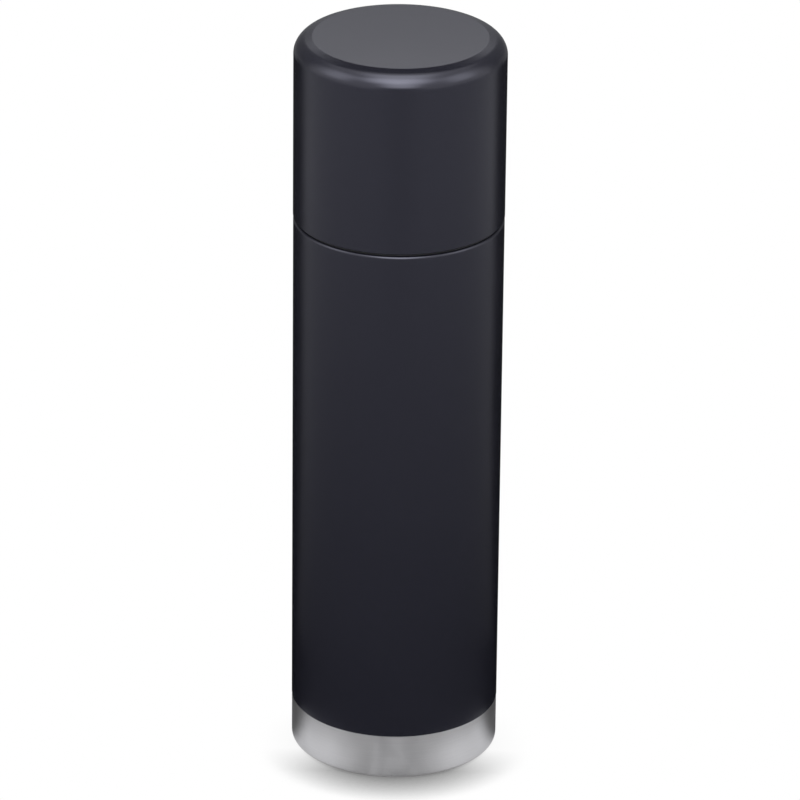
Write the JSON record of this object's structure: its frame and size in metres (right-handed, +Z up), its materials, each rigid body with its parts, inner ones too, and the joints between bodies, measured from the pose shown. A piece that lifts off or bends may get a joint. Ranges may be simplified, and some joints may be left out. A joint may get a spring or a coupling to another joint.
{
  "type": "insulated growler",
  "caption": "Tall cylindrical insulated growler: matte double-wall bottle with a bare steel base band, screw-on cup and twist-and-pour stopper.",
  "frame": {"origin": "centre of the foot ring on the surface the bottle stands on", "axes": "+Z up along the bottle's axis, towards the cup; -Y is the front; the shape is round, so X and Y are free"},
  "size_m": [0.087, 0.087, 0.3167],
  "materials": {
    "coat": "matte black powder coat",
    "brushed_band": "brushed around the axis",
    "steel_sheet": "electropolished",
    "sealing_glass": "fused sealing bead",
    "getter_alloy": "pressed powder",
    "foil": "bright foil",
    "silicone": "soft matte",
    "plastic": "fine spark texture",
    "bolt_steel": "turned and plated",
    "foam": "closed-cell foam"
  },
  "bodies": {
    "bottle": {"outer_shell": "coat", "base_cup": "brushed_band", "base_plate": "steel_sheet", "vacuum_plug": "sealing_glass", "getter_holder": "steel_sheet", "getter": "getter_alloy", "inner_vessel": "steel_sheet", "vessel_end": "steel_sheet", "vessel_neck": "steel_sheet", "radiation_foil": "foil", "seam_gasket": "silicone"},
    "cup_carrier": {"cup_shield": "foil"},
    "cup_ring": {"cup_slip_ring": "silicone"},
    "cup": {"cup_outer_shell": "coat", "cup_liner": "steel_sheet", "cup_end": "steel_sheet", "cup_getter": "getter_alloy"},
    "stopper": {"stopper_sleeve": "plastic", "sleeve_seal": "silicone", "lip_gasket": "silicone"},
    "valve_seal": {"valve_gasket": "silicone"},
    "valve": {"valve_core": "plastic", "stopper_stud": "bolt_steel", "stopper_foam": "foam", "stopper_knob": "plastic", "stopper_washer": "bolt_steel", "stopper_nut": "bolt_steel", "stopper_cover": "brushed_band"}
  },
  "joints": [
    {"name": "cup_lift", "type": "slide", "parent": "bottle", "child": "cup_carrier", "axis": [0, 0, 1], "range_m": [0, 0.096]},
    {"name": "cup_rise", "type": "slide", "parent": "cup_carrier", "child": "cup_ring", "axis": [0, 0, 1], "range_m": [0, 0.00401]},
    {"name": "cup_turn", "type": "hinge", "parent": "cup_ring", "child": "cup", "pos_m": [0, 0, 0.245], "axis": [0, 0, 1], "range_deg": [0, 360]},
    {"name": "stopper_lift", "type": "slide", "parent": "bottle", "child": "stopper", "axis": [0, 0, 1], "range_m": [0, 0.031]},
    {"name": "valve_rise", "type": "slide", "parent": "stopper", "child": "valve_seal", "axis": [0, 0, 1], "range_m": [0, 0.00301]},
    {"name": "valve_turn", "type": "hinge", "parent": "valve_seal", "child": "valve", "pos_m": [0, 0, 0.25], "axis": [0, 0, 1], "range_deg": [0, 180]}
  ],
  "couplings": [
    {"joint": "cup_rise", "follows": "cup_turn", "m_per_rad": 0.00063662},
    {"joint": "valve_rise", "follows": "valve_turn", "m_per_rad": 0.00095493}
  ]
}
